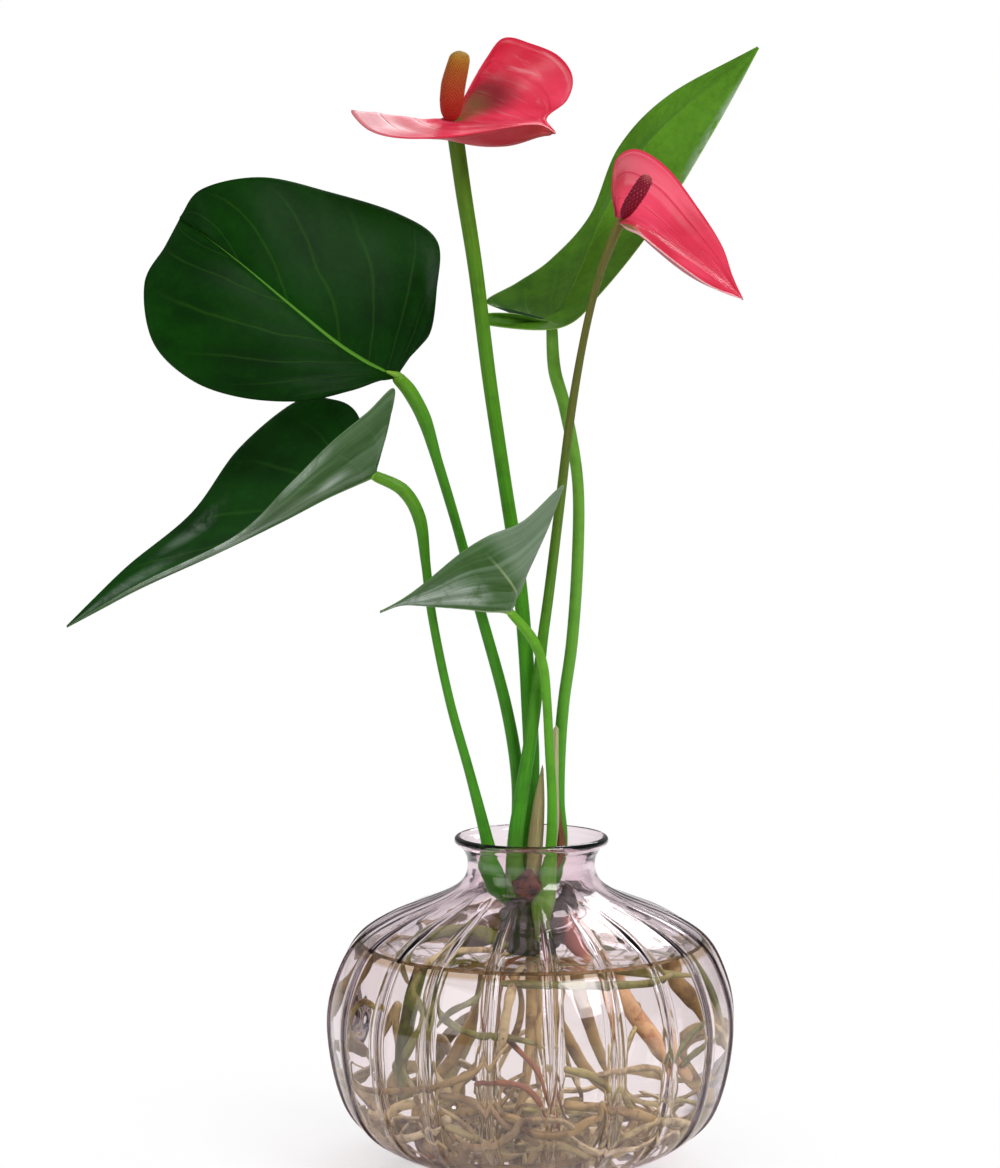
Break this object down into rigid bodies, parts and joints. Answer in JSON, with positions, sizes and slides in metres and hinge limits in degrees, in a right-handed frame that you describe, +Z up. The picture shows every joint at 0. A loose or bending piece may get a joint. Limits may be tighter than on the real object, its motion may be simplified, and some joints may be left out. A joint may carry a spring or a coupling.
{
  "type": "anthurium in a glass vase",
  "caption": "Anthurium grown in water: folded heart-shaped leaves and pink spathes on slender stalks rise from a round ribbed clear glass vase with a narrow neck; roots hang in the water.",
  "frame": {"origin": "the middle of the vase's flat foot, where it rests", "axes": "+Z up along the vase's axis; the plant's front faces -Y and the lowest leaf reaches out towards -X"},
  "size_m": [0.249, 0.1514, 0.4148],
  "materials": {
    "glass": "clear, polished, moulded ribs",
    "water": "clear, still",
    "leaf_green": "glossy, dark green, paler underneath",
    "fresh_green": "semi-gloss, mid green",
    "stalk_green": "satin, bright green",
    "stalk_olive": "satin, olive to green",
    "spathe_pink": "waxy, coral pink",
    "spadix_orange": "pimpled, orange-red to yellow",
    "spadix_crimson": "pimpled, dark crimson",
    "sheath_straw": "dry, papery",
    "sheath_brown": "dry, papery",
    "rhizome": "rough, wet",
    "root_tan": "smooth, wet"
  },
  "bodies": {
    "root": {"vase": "glass", "water": "water", "crown": "rhizome", "leaf_large": "leaf_green", "leaf_low": "leaf_green", "leaf_tall": "fresh_green", "leaf_small": "fresh_green", "petiole_large": "stalk_green", "petiole_low": "stalk_green", "petiole_tall": "stalk_green", "petiole_small": "fresh_green", "peduncle_tall": "stalk_olive", "peduncle_low": "stalk_olive", "spathe_tall": "spathe_pink", "spathe_low": "spathe_pink", "spadix_tall": "spadix_orange", "spadix_low": "spadix_crimson", "sheath_cream": "sheath_straw", "sheath_pale": "sheath_straw", "sheath_brown": "sheath_brown", "root_01": "root_tan", "root_02": "root_tan", "root_03": "root_tan", "root_04": "root_tan", "root_05": "root_tan", "root_06": "root_tan", "root_07": "root_tan", "root_08": "root_tan", "root_09": "root_tan", "root_10": "root_tan", "root_11": "root_tan", "root_12": "root_tan"}
  },
  "joints": []
}
